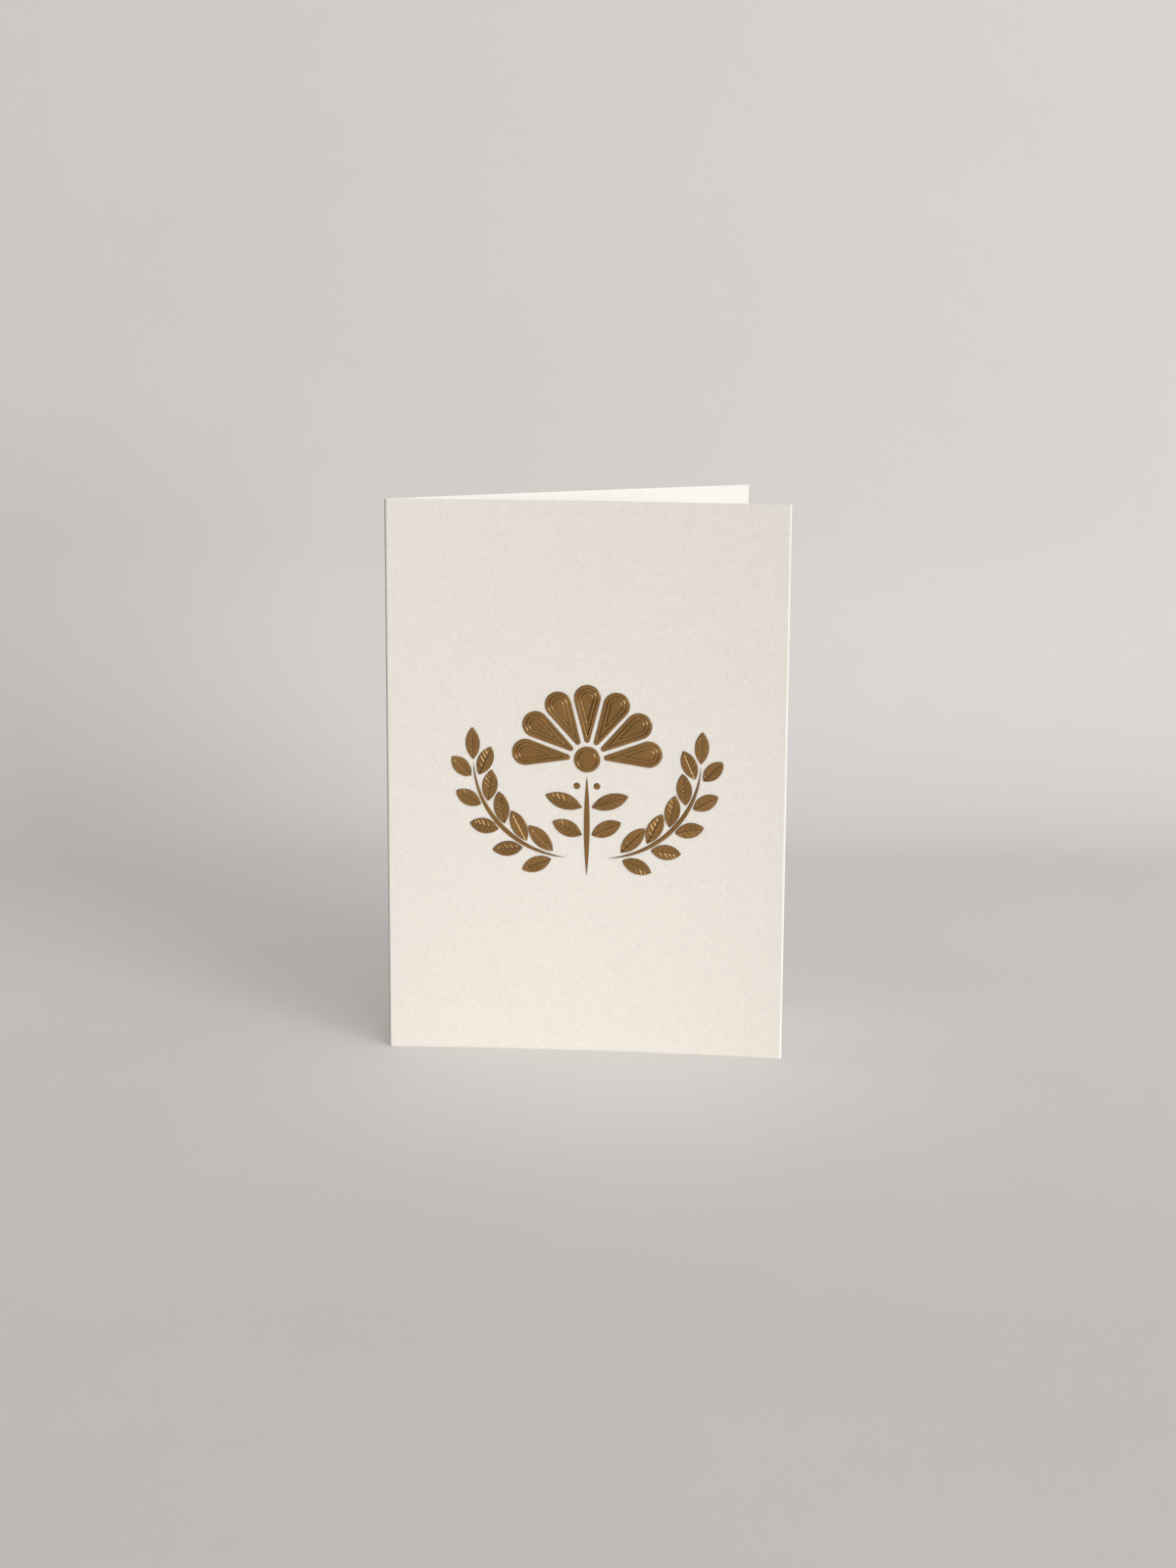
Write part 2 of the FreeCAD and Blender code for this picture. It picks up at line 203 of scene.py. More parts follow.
# Room light: level at the horizon, and how it grows to the right and upwards
ROOM_LIGHT = 0.395
ROOM_SLOPE = (0.33, 0.0, 0.35)
ROOM_SEEN = (0.585, 0.572, 0.552)   # what shows beyond the sweep
WINDOW_PLACE = (3.935, -4.527, 1.4)
WINDOW_AIM = (0.0, 0.0, 0.08)
WINDOW_WIDTH = 2.95
WINDOW_HEIGHT = 2.8
WINDOW_COLOUR = (1.0, 0.99, 0.98)
WINDOW_POWER = 205.0
GLINT_WIDTH = 2.065        # the window as the foil mirrors it: smaller, weaker and cooler
GLINT_HEIGHT = 2.24
GLINT_PLACE = (4.0, -4.2, 1.56)
GLINT_POWER = 98.0
GLINT_COLOUR = (0.62, 0.76, 0.92)
FOOT_LIGHT_POWER = 6.5
FOOT_LIGHT_ANGLE = 12.0
FOOT_LIGHT_RADIUS = 0.05
FOOT_LIGHT_PLACE = (0.15, -0.68, 0.85)
FOOT_LIGHT_AIM = (0.0, -0.03, -0.005)

# Backdrop
FLOOR_REACH = 2.0
SWEEP_START = 0.25
SWEEP_RADIUS = 0.12
SWEEP_STEPS = 32
WALL_HEIGHT = 2.4
FADE_START = 0.7           # distance from the card at which the sweep begins to fade from view
FADE_END = 1.7
BACKDROP_COLOUR = (0.722, 0.706, 0.689)
FRONT_SHADE = 0.93         # painted shade: the sweep is a little darker in front of the card
FRONT_SHADE_END = -0.25
WALL_PAINTED_LIGHT_SLOPE = 0.12          # painted light: its wall a little lighter to the right, per metre


# Plan of the folded sheet, in millimetres
fold_outside = FOLD_RADIUS + BOARD_THICKNESS
leaf_run = CARD_WIDTH - fold_outside
front_curve = leaf_run / math.radians(FRONT_BOW)
back_curve = leaf_run / math.radians(BACK_BOW)


def polar(centre, radius, degrees):
    """The point at a radius and an angle from a centre."""
    turn = math.radians(degrees)
    return Vector((centre[0] + radius * math.cos(turn), centre[1] + radius * math.sin(turn)))


near_end = (front_curve * math.cos(math.radians(FRONT_LEAN + FRONT_BOW))
            - (fold_outside + front_curve) * math.cos(math.radians(FRONT_LEAN)))
fold_centre = Vector((card_low.x / MM + fold_outside, card_low.y / MM - near_end))
front_centre = polar(fold_centre, fold_outside + front_curve, -90 - FRONT_LEAN)
back_centre = polar(fold_centre, back_curve - fold_outside, BACK_SPREAD - 90)


def spread(first, last, steps):
    """Evenly spaced numbers from first to last, both included."""
    return [first + (last - first) * step / steps for step in range(steps + 1)]


def mesh_object(name, points, faces, materials):
    """A smooth-shaded mesh piece from points in millimetres."""
    mesh = bpy.data.meshes.new(name)
    mesh.from_pydata([Vector(point) * MM for point in points], [], faces)
    for material in materials:
        mesh.materials.append(material)
    mesh.polygons.foreach_set("use_smooth", [True] * len(mesh.polygons))
    mesh.update()
    piece = bpy.data.objects.new(name, mesh)
    bpy.context.scene.collection.objects.link(piece)
    return piece


# Shared shader effects
def new_group(name, inputs, outputs):
    """An empty shader node group with named number sockets."""
    group = bpy.data.node_groups.new(name, "ShaderNodeTree")
    for label, kind, value in inputs:
        socket = group.interface.new_socket(label, in_out="INPUT", socket_type=kind)
        socket.default_value = value
    for label, kind in outputs:
        group.interface.new_socket(label, in_out="OUTPUT", socket_type=kind)
    return group


def add(tree, kind, **values):
    """A node in a tree, with its properties set."""
    node = tree.nodes.new(kind)
    for key, value in values.items():
        setattr(node, key, value)
    return node


def join(tree, source, target):
    """Link two sockets."""
    tree.links.new(source, target)


def noise(tree, place, scale, detail, roughness):
    """A noise texture read at a place."""
    node = add(tree, "ShaderNodeTexNoise")
    join(tree, place, node.inputs["Vector"])
    for label, value in (("Scale", scale), ("Detail", detail), ("Roughness", roughness)):
        if isinstance(value, bpy.types.NodeSocket):
            join(tree, value, node.inputs[label])
        else:
            node.inputs[label].default_value = value
    return node.outputs["Fac"]


def arithmetic(tree, operation, first, second):
    """A Math node on two sockets or numbers."""
    node = add(tree, "ShaderNodeMath", operation=operation)
    for index, value in enumerate((first, second)):
        if isinstance(value, bpy.types.NodeSocket):
            join(tree, value, node.inputs[index])
        else:
            node.inputs[index].default_value = value
    return node.outputs[0]


def remap(tree, value, low, high, new_low, new_high):
    """A value moved from one range to another and held inside it."""
    node = add(tree, "ShaderNodeMapRange")
    join(tree, value, node.inputs["Value"])
    for label, number in (("From Min", low), ("From Max", high), ("To Min", new_low), ("To Max", new_high)):
        if isinstance(number, bpy.types.NodeSocket):
            join(tree, number, node.inputs[label])
        else:
            node.inputs[label].default_value = number
    return node.outputs["Result"]


def make_tooth_group():
    """Fine tooth of a paper or board surface: a height and a faint shade from one grain size."""
    group = new_group(
        "paper_tooth",
        [("Grain per metre", "NodeSocketFloat", 2500.0), ("Streak", "NodeSocketFloat", 1.0)],
        [("Height", "NodeSocketFloat"), ("Shade", "NodeSocketFloat")])
    entry = add(group, "NodeGroupInput")
    leave = add(group, "NodeGroupOutput")
    place = add(group, "ShaderNodeTexCoord").outputs["Object"]
    stretch = add(group, "ShaderNodeCombineXYZ")
    stretch.inputs["X"].default_value = 1.0
    stretch.inputs["Y"].default_value = 1.0
    join(group, entry.outputs["Streak"], stretch.inputs["Z"])
    scaled = add(group, "ShaderNodeVectorMath", operation="MULTIPLY")
    join(group, place, scaled.inputs[0])
    join(group, stretch.outputs["Vector"], scaled.inputs[1])
    coarse = noise(group, scaled.outputs["Vector"], entry.outputs["Grain per metre"], 4.0, 0.62)
    finer = arithmetic(group, "MULTIPLY", entry.outputs["Grain per metre"], FINE_GRAIN)
    fine = noise(group, scaled.outputs["Vector"], finer, 2.0, 0.5)
    height = arithmetic(group, "ADD", arithmetic(group, "MULTIPLY", coarse, COARSE_SHARE),
                        arithmetic(group, "MULTIPLY", fine, 1 - COARSE_SHARE))
    join(group, height, leave.inputs["Height"])
    join(group, remap(group, coarse, *NOISE_SPAN, 0.0, 1.0), leave.inputs["Shade"])
    return group


def make_cloud_group():
    """Slow, soft unevenness over centimetres, as a value about one."""
    group = new_group(
        "soft_cloud",
        [("Cloud per metre", "NodeSocketFloat", 40.0), ("Strength", "NodeSocketFloat", 0.02)],
        [("Value", "NodeSocketFloat")])
    entry = add(group, "NodeGroupInput")
    leave = add(group, "NodeGroupOutput")
    place = add(group, "ShaderNodeTexCoord").outputs["Object"]
    cloud = noise(group, place, entry.outputs["Cloud per metre"], 3.0, 0.55)
    least = arithmetic(group, "SUBTRACT", 1.0, entry.outputs["Strength"])
    most = arithmetic(group, "ADD", 1.0, entry.outputs["Strength"])
    join(group, remap(group, cloud, *NOISE_SPAN, least, most), leave.inputs["Value"])
    return group


TOOTH = make_tooth_group()
CLOUD = make_cloud_group()


def place_group(tree, group, **values):
    """A shared group in a material, with its own values."""
    node = add(tree, "ShaderNodeGroup", node_tree=group)
    for label, value in values.items():
        node.inputs[label.replace("_", " ")].default_value = value
    return node


def shaded(tree, colour, *factors):
    """A colour multiplied by values that change over the surface."""
    tint = add(tree, "ShaderNodeVectorMath", operation="SCALE")
    tint.inputs[0].default_value = colour
    total = factors[0]
    for factor in factors[1:]:
        total = arithmetic(tree, "MULTIPLY", total, factor)
    join(tree, total, tint.inputs["Scale"])
    return tint.outputs["Vector"]


def bump(tree, height, distance, strength):
    """A Bump node's normal from a height."""
    node = add(tree, "ShaderNodeBump")
    node.inputs["Distance"].default_value = distance
    node.inputs["Strength"].default_value = strength
    join(tree, height, node.inputs["Height"])
    return node.outputs["Normal"]


def grained(tree, tooth, values):
    """A value that changes with the grain, from its dark to its light parts."""
    return remap(tree, tooth.outputs["Shade"], 0.0, 1.0, *values)


def split_place(tree):
    """The place on the object, as separate X, Y and Z."""
    split = add(tree, "ShaderNodeSeparateXYZ")
    join(tree, add(tree, "ShaderNodeTexCoord").outputs["Object"], split.inputs["Vector"])
    return split


def new_material(name):
    """A material, its tree and its Principled shader."""
    material = bpy.data.materials.new(name)
    material.use_nodes = True
    tree = material.node_tree
    return material, tree, tree.nodes["Principled BSDF"]


def make_board(name, colour, speckle, cloudiness, roughness, painted_light_at_fold, fold_end):
    """One side of the uncoated board, with a fine tooth and a factor of painted light at the fold that is
    gone by fold_end: painted shade on the outside, painted light on the inside.
    """
    material, tree, shader = new_material(name)
    tooth = place_group(tree, TOOTH, Grain_per_metre=1100.0, Streak=0.75)
    cloud = place_group(tree, CLOUD, Cloud_per_metre=140.0, Strength=cloudiness)
    # painted light at the fold: darker on the outside, lighter on the inside, fading away from the fold
    painted_fold_light = remap(tree, split_place(tree).outputs["X"], card_low.x, fold_end, painted_light_at_fold, 1.0)
    tinted = shaded(tree, colour, grained(tree, tooth, speckle), cloud.outputs["Value"], painted_fold_light)
    join(tree, tinted, shader.inputs["Base Color"])
    join(tree, grained(tree, tooth, roughness), shader.inputs["Roughness"])
    join(tree, bump(tree, tooth.outputs["Height"], *BOARD_TOOTH), shader.inputs["Normal"])
    shader.inputs["Specular IOR Level"].default_value = 0.25
    return material


def make_cut_edge():
    """The sheet's cut edge: brighter core with fibres that run along it."""
    material, tree, shader = new_material("cut_edge")
    tooth = place_group(tree, TOOTH, Grain_per_metre=5200.0, Streak=0.3)
    join(tree, shaded(tree, CORE_COLOUR, grained(tree, tooth, CORE_SPECKLE)), shader.inputs["Base Color"])
    join(tree, grained(tree, tooth, CORE_ROUGHNESS), shader.inputs["Roughness"])
    join(tree, bump(tree, tooth.outputs["Height"], *CORE_TOOTH), shader.inputs["Normal"])
    shader.inputs["Specular IOR Level"].default_value = 0.2
    return material


def make_foil():
    """Stamped bronze-gold foil: metal with a soft unevenness left by the board under it, with painted shade
    in its outlines and pressed lines and a painted sheen on their slopes.
    """
    material, tree, shader = new_material("stamped_foil")
    cloud = place_group(tree, CLOUD, Cloud_per_metre=130.0, Strength=0.15)
    tooth = place_group(tree, TOOTH, Grain_per_metre=1300.0, Streak=0.4)
    # painted shade and painted sheen: the tones by openness darken outline rims and line bottoms and
    # lighten the slopes
    openness = add(tree, "ShaderNodeAttribute", attribute_name="openness")
    painted_light_tones = add(tree, "ShaderNodeValToRGB")
    stops = painted_light_tones.color_ramp.elements
    while len(stops) < len(FOIL_TONES_WITH_PAINTED_LIGHT):
        stops.new(0.5)
    for stop, (share, colour) in zip(stops, FOIL_TONES_WITH_PAINTED_LIGHT):
        stop.position = share
        stop.color = (*colour, 1.0)
    join(tree, openness.outputs["Fac"], painted_light_tones.inputs["Fac"])
    tint = add(tree, "ShaderNodeVectorMath", operation="SCALE")
    join(tree, painted_light_tones.outputs["Color"], tint.inputs[0])
    join(tree, cloud.outputs["Value"], tint.inputs["Scale"])
    join(tree, tint.outputs["Vector"], shader.inputs["Base Color"])
    join(tree, grained(tree, tooth, FOIL_ROUGHNESS), shader.inputs["Roughness"])
    join(tree, bump(tree, tooth.outputs["Height"], *FOIL_TOOTH), shader.inputs["Normal"])
    shader.inputs["Metallic"].default_value = 1.0
    shader.inputs["Coat Weight"].default_value = 0.4
    shader.inputs["Coat Roughness"].default_value = 0.1
    return material


def make_backdrop_paper():
    """Pale matt sweep that fades from view far from the card, with painted shade in front of the card and
    painted light towards the right of its wall. Its back lets the camera through.
    """
    material, tree, shader = new_material("backdrop_paper")
    cloud = place_group(tree, CLOUD, Cloud_per_metre=6.0, Strength=0.012)
    place = split_place(tree)
    # painted shade: darker in front of the card
    front = remap(tree, place.outputs["Y"], FRONT_SHADE_END, 0.0, FRONT_SHADE, 1.0)
    # painted light: the wall lighter to the right
    slope = remap(tree, place.outputs["Z"], 0.0, SWEEP_RADIUS, 0.0, WALL_PAINTED_LIGHT_SLOPE)
    painted_wall_light = arithmetic(tree, "ADD", arithmetic(tree, "MULTIPLY", place.outputs["X"], slope), 1.0)
    tinted = shaded(tree, BACKDROP_COLOUR, cloud.outputs["Value"], front, painted_wall_light)
    join(tree, tinted, shader.inputs["Base Color"])
    shader.inputs["Roughness"].default_value = 0.95
    shader.inputs["Specular IOR Level"].default_value = 0.1
    clear = add(tree, "ShaderNodeBsdfTransparent")
    plan = add(tree, "ShaderNodeCombineXYZ")
    join(tree, place.outputs["X"], plan.inputs["X"])
    join(tree, place.outputs["Y"], plan.inputs["Y"])
    away = add(tree, "ShaderNodeVectorMath", operation="LENGTH")
    join(tree, plan.outputs["Vector"], away.inputs[0])
    faded = remap(tree, away.outputs["Value"], FADE_START, FADE_END, 0.0, 1.0)
    seen = add(tree, "ShaderNodeLightPath").outputs["Is Camera Ray"]
    facing = add(tree, "ShaderNodeNewGeometry").outputs["Backfacing"]
    choice = add(tree, "ShaderNodeMixShader")
    join(tree, arithmetic(tree, "MAXIMUM", facing, arithmetic(tree, "MULTIPLY", faded, seen)),
         choice.inputs["Fac"])
    join(tree, shader.outputs["BSDF"], choice.inputs[1])
    join(tree, clear.outputs["BSDF"], choice.inputs[2])
    join(tree, choice.outputs["Shader"], tree.nodes["Material Output"].inputs["Surface"])
    return material


# Painted light at the fold: painted shade on the outside, painted light on the inside
board_face = make_board("board_face", BOARD_COLOUR, BOARD_SPECKLE, BOARD_CLOUD, BOARD_ROUGHNESS,
                        FOLD_SHADE, card_low.x + FOLD_SHADE_WIDTH * MM)
inner_face = make_board("inner_face", INNER_COLOUR, INNER_SPECKLE, INNER_CLOUD, INNER_ROUGHNESS,
                        FOLD_PAINTED_LIGHT, card_high.x)
cut_edge = make_cut_edge()
stamped_foil = make_foil()
backdrop_paper = make_backdrop_paper()


# The folded sheet. Its finishes are numbered in the order of its materials
OUTSIDE, INSIDE, CUT = range(3)


def round_over(distance, width, depth):
    """How far a rounded edge falls back at a distance from its end."""
    share = min(distance / width, 1.0)
    return depth * (1 - math.sqrt(1 - (1 - share) ** 2))


def edge_stops(width):
    """Distances from an edge that draw its round, with one just past it."""
    return [width * share for share in EDGE_SHARES] + [width + PAST_EDGE]


def front_leaf_stop(distance):
    """The sheet's two sides at a distance from the front leaf's free edge."""
    degrees = 90 - FRONT_LEAN - math.degrees((leaf_run - distance) / front_curve)
    outside = round_over(distance, ROLLED_EDGE_WIDTH, ROLLED_EDGE_DEPTH)
    inside = round_over(distance, EDGE_ROUND, EDGE_ROUND)
    return front_centre, degrees, front_curve, outside, front_curve + BOARD_THICKNESS, inside


def back_leaf_stop(distance):
    """The sheet's two sides at a distance from the back leaf's free edge."""
    degrees = 90 + BACK_SPREAD - math.degrees((leaf_run - distance) / back_curve)
    fall = round_over(distance, EDGE_ROUND, EDGE_ROUND)
    return back_centre, degrees, back_curve, fall, back_curve - BOARD_THICKNESS, fall


def sheet_stops():
    """Stops along the sheet, from the back free edge round the fold to the front one."""
    between = spread(LEAF_OUTER_MARGIN, leaf_run - LEAF_FOLD_MARGIN, LEAF_STEPS) + [leaf_run - NEAR_FOLD]
    back = edge_stops(EDGE_ROUND) + between
    front = edge_stops(ROLLED_EDGE_WIDTH) + between
    stops = [back_leaf_stop(distance) for distance in back]
    for degrees in spread(90 + BACK_SPREAD, 270 - FRONT_LEAN, FOLD_STEPS):
        stops.append((fold_centre, degrees, fold_outside, 0.0, FOLD_RADIUS, 0.0))
    stops += [front_leaf_stop(distance) for distance in reversed(front)]
    return stops


def sheet_pair(stop, row_fall):
    """The sheet's outer and inner point at a stop, on a row that falls back at its end."""
    centre, degrees, outer, outer_fall, inner, inner_fall = stop
    inwards = math.copysign(1, inner - outer)
    outer += inwards * max(outer_fall, row_fall)
    inner -= inwards * max(inner_fall, row_fall)
    return polar(centre, outer, degrees), polar(centre, inner, degrees)


def make_card_sheet():
    """The whole folded sheet as one closed skin with rounded cut edges."""
    stops = sheet_stops()
    height = (card_high.z - card_low.z) / MM
    ends = edge_stops(EDGE_ROUND)
    rows = ends + spread(HEIGHT_MARGIN, height - HEIGHT_MARGIN, HEIGHT_STEPS)
    rows += [height - end for end in reversed(ends)]
    points = []
    for row in rows:
        fall = round_over(min(row, height - row), EDGE_ROUND, EDGE_ROUND)
        for stop in stops:
            for side in sheet_pair(stop, fall):
                points.append((side.x, side.y, card_low.z / MM + row))

    columns = len(stops)
    bare_from = columns - 1 - sum(end <= ROLLED_EDGE_BARE for end in edge_stops(ROLLED_EDGE_WIDTH))
    stride = 2 * columns
    faces = []
    finishes = []
    for row in range(len(rows) - 1):
        for column in range(columns - 1):
            low = row * stride + 2 * column
            high = low + stride
            faces.append((low, low + 2, high + 2, high))
            finishes.append(CUT if column >= bare_from else OUTSIDE)
            faces.append((low + 1, high + 1, high + 3, low + 3))
            finishes.append(INSIDE)
    cut_from = len(faces)
    top = (len(rows) - 1) * stride
    for low in range(0, stride - 2, 2):
        faces.append((low, low + 1, low + 3, low + 2))
        faces.append((top + low, top + low + 2, top + low + 3, top + low + 1))
    for first in range(0, top, stride):
        last = first + stride - 2
        faces.append((first, first + stride, first + stride + 1, first + 1))
        faces.append((last, last + 1, last + stride + 1, last + stride))
    finishes += [CUT] * (len(faces) - cut_from)
    piece = mesh_object("card_sheet", points, faces, [board_face, inner_face, cut_edge])
    piece.data.polygons.foreach_set("material_index", finishes)
    return piece


# Raised foil, drawn flat about the design's centre and bent on to the front leaf
design_turn = 90 - FRONT_LEAN - FRONT_BOW * DESIGN_OFFSET / CARD_WIDTH
design_out = polar((0, 0), 1, design_turn)
design_across = polar((0, 0), 1, design_turn - 90)


def on_leaf(across, up, rise):
    """A point of the flat design at a height above the printed face, in space."""
    radius = front_curve - rise
    out = math.sqrt(radius * radius - across * across)
    plan = front_centre + design_across * across + design_out * out
    return plan.x, plan.y, DESIGN_HEIGHT + up


def shoulder(depth):
    """Height of the relief at a distance inside its outline: a quarter round, then flat."""
    share = min(max(depth / SHOULDER, 0.0), 1.0)
    return FOIL_RISE * math.sqrt(1 - (1 - share) ** 2)


def pressed(distance, half_width=LINE_HALF_WIDTH):
    """How far a pressed line sinks at a distance from its middle: a soft hollow."""
    share = min(abs(distance) / half_width, 1.0)
    return LINE_DEPTH * (1 + math.cos(math.pi * share)) / 2


def openness(depth, press=0.0):
    """How open the face is, which sets the foil's painted shade and painted sheen: none at the outline and
    the bottom of a pressed line, else up to one.
    """
    return min(depth / OUTLINE_WIDTH, 1 - press / LINE_DEPTH, 1.0)


class Relief:
    """Gathers raised patches of the flat design and makes one closed piece of them."""

    def __init__(self, name):
        self.name = name
        self.points = []
        self.openness = []
        self.faces = []

    def put(self, row):
        """Add a row of points, each across, up, rise and openness, and return their numbers."""
        first = len(self.points)
        self.points += [on_leaf(*point[:3]) for point in row]
        self.openness += [point[3] for point in row]
        return list(range(first, len(self.points)))

    def strip(self, rows):
        """A patch from a pointed start to a pointed end. Each row runs across it from right to left."""
        numbers = [self.put(row) for row in rows]
        for low, high in zip(numbers, numbers[1:]):
            if len(low) == 1:
                self.faces += [(low[0], high[k], high[k + 1]) for k in range(len(high) - 1)]
                self.faces.append((low[0], high[-1], high[0]))
            elif len(high) == 1:
                self.faces += [(low[k], high[0], low[k + 1]) for k in range(len(low) - 1)]
                self.faces.append((low[-1], high[0], low[0]))
            else:
                self.faces += [(low[k], high[k], high[k + 1], low[k + 1]) for k in range(len(low) - 1)]
                self.faces.append((low[-1], high[-1], high[0], low[0]))

    def rings(self, rings):
        """A patch from nested rings, the widest first. The last one may be a point."""
        numbers = [self.put(ring) for ring in rings]
        count = len(numbers[0])
        for wide, narrow in zip(numbers, numbers[1:]):
            for k in range(count):
                after = (k + 1) % count
                if len(narrow) == 1:
                    self.faces.append((wide[k], wide[after], narrow[0]))
                else:
                    self.faces.append((wide[k], wide[after], narrow[after], narrow[k]))
        self.faces.append(tuple(reversed(numbers[0])))

    def piece(self):
        """The finished piece."""
        made = mesh_object(self.name, self.points, self.faces, [stamped_foil])
        openness = made.data.attributes.new("openness", "FLOAT", "POINT")
        openness.data.foreach_set("value", self.openness)
        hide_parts("gold_foil")
        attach(made, "root")
        return made


def ahead(point, degrees, distance):
    """The point of the flat design at a distance in a direction."""
    return polar(point, distance, degrees)


def placed(foot, degrees, along, across):
    """A point of a patch, from its own length and breadth to the flat design."""
    return ahead(ahead(foot, degrees, along), degrees + 90, across)


def lens_radius(length, width):
    """Radius of the two arcs that bound a pointed leaf."""
    return (length * length / 4 + width * width / 4) / width


def half_row(half_width):
    """Distances from the middle to the side of a leaf, close together at its rib and its edge."""
    needed = EDGE_STEPS[-1] + RIB_STEPS[-1] + BLADE_LEAST
    squeeze = min(1.0, half_width / needed)
    rib = [step * squeeze for step in RIB_STEPS]
    edge = [half_width - step * squeeze for step in reversed(EDGE_STEPS)]
    between = spread(rib[-1], edge[0], BLADE_STEPS)[1:-1]
    return rib + between + edge


def leaf_rows(length):
    """Places along a leaf, each with how deep a side vein is pressed there."""
    vein_places = spread(VEIN_SPAN[0] * length, VEIN_SPAN[1] * length, VEIN_COUNT - 1)
    rows = [(TIP_STEP * step, 0.0) for step in range(1, 4)]
    rows += [(length - TIP_STEP * step, 0.0) for step in range(1, 6)]
    for place in vein_places:
        for step in GROOVE_STEPS:
            offset = step * VEIN_HALF_WIDTH
            rows.append((place + offset, VEIN_SHARE * pressed(offset, VEIN_HALF_WIDTH)))
    gap = (vein_places[1] - vein_places[0]) / 2
    rows += [(place + gap, 0.0) for place in vein_places]
    return sorted(rows)


def leaf(relief, foot, degrees, length, width):
    """A pointed leaf with a pressed midrib and slanting side veins."""
    radius = lens_radius(length, width)
    sink = radius - width / 2

    def half_width(along):
        return math.sqrt(max(radius ** 2 - (along - length / 2) ** 2, 0.0)) - sink

    rows = [[(*foot, 0.0, 0.0)]]
    for start, vein in leaf_rows(length):
        row = []
        side = half_row(half_width(start))
        widest = side[-1]
        for across in [-value for value in reversed(side)] + side[1:]:
            share = abs(across) / widest
            bent = 4 * start * (length - start) / length ** 2
            along = start + VEIN_SLANT * abs(across) * bent
            across = math.copysign(share * half_width(along), across)
            depth = radius - math.hypot(along - length / 2, abs(across) + sink)
            rib = pressed(across) * min(1.0, RIB_FADE * (1 - start / length))
            side_vein = vein * min(1.0, VEIN_FADE * (1 - share))
            press = min(max(rib, side_vein), shoulder(depth) * PRESS_LIMIT)
            place = placed(foot, degrees, along, across)
            row.append((*place, shoulder(depth) - press, openness(depth, press)))
        rows.append(row)
    rows.append([(*ahead(foot, degrees, length), 0.0, 0.0)])
    relief.strip(rows)


def round_strip(relief, centre_line, half_widths):
    """A thin rounded stem along a centre line, tapered to both ends."""
    rows = [[(*centre_line[0][0], 0.0, 0.0)]]
    for (point, degrees), half_width in list(zip(centre_line, half_widths))[1:-1]:
        height = min(FOIL_RISE, half_width)
        row = []
        for turn in spread(0, 180, STEM_SIDES):
            across = -half_width * math.cos(math.radians(turn))
            rise = height * math.sin(math.radians(turn)) ** STEM_FULLNESS
            depth = half_width - abs(across)
            row.append((*ahead(point, degrees + 90, across), rise, openness(depth)))
        rows.append(row)
    rows.append([(*centre_line[-1][0], 0.0, 0.0)])
    relief.strip(rows)


def teardrop_ring(root, degrees, root_radius, end_radius, distance, inset):
    """A petal's outline moved inwards by an inset, as points of the flat design."""
    sine = (end_radius - root_radius) / distance
    side = 90 + math.degrees(math.asin(sine))
    end = ahead(root, degrees, distance)
    small = max(root_radius - inset, LEAST_ROOT_RADIUS)
    slide = max(inset + LEAST_ROOT_RADIUS - root_radius, 0.0) / sine
    near = ahead(root, degrees, min(slide, distance))
    large = max(end_radius - inset, 0.0)
    ring = [ahead(end, degrees + turn, large) for turn in spread(-side, side, PETAL_END_STEPS)]
    left, right = ring[-1], ring[0]
    near_left = ahead(near, degrees + side, small)
    near_right = ahead(near, degrees - side, small)
    shares = spread(0, 1, PETAL_SIDE_STEPS)[1:-1]
    ring += [left.lerp(near_left, share) for share in shares]
    ring += [ahead(near, degrees + turn, small) for turn in spread(side, 360 - side, PETAL_ROOT_STEPS)]
    ring += [near_right.lerp(right, share) for share in shares]
    return ring


def contour_insets(limit):
    """Insets of a patch's rings: close together at its edge and at each pressed contour line."""
    insets = list(EDGE_STEPS)
    for line in CONTOUR_LINES:
        insets += [line + step * LINE_HALF_WIDTH for step in GROOVE_STEPS]
    insets += spread(CONTOUR_LINES[-1] + PETAL_MIDDLE_START, limit, PETAL_MIDDLE_STEPS)
    return [inset for inset in sorted(insets) if inset < limit]


def contour_point(place, inset, lines):
    """A point of a patch with pressed contour lines, at an inset from its outline."""
    press = sum(pressed(inset - line) for line in lines)
    return *place, shoulder(inset) - press, openness(inset, press)


def petal(relief, hub, degrees):
    """A petal with contour lines pressed inside its outline."""
    half_pitch = math.sin(math.radians(PETAL_PITCH / 2))
    end_radius = (PETAL_REACH * half_pitch - PETAL_GAP / 2) / (1 + half_pitch)
    root = ahead(hub, degrees, PETAL_START + PETAL_ROOT_RADIUS)
    distance = PETAL_REACH - end_radius - PETAL_START - PETAL_ROOT_RADIUS
    rings = []
    for inset in contour_insets(end_radius):
        outline = teardrop_ring(root, degrees, PETAL_ROOT_RADIUS, end_radius, distance, inset)
        rings.append([contour_point(point, inset, CONTOUR_LINES) for point in outline])
    rings.append([contour_point(ahead(root, degrees, distance), end_radius, CONTOUR_LINES)])
    relief.rings(rings)


def circle(centre, radius, sides):
    """Points round a circle of the flat design."""
    return [ahead(centre, 360 * side / sides, radius) for side in range(sides)]


def bead(relief, centre, radius, height):
    """A round bead."""
    rings = []
    for turn in spread(0, 90, BERRY_STEPS)[:-1]:
        ring_radius = radius * math.cos(math.radians(turn))
        rise = height * math.sin(math.radians(turn))
        open_share = openness(radius - ring_radius)
        rings.append([(*place, rise, open_share) for place in circle(centre, ring_radius, BERRY_SIDES)])
    rings.append([(*centre, height, 1.0)])
    relief.rings(rings)


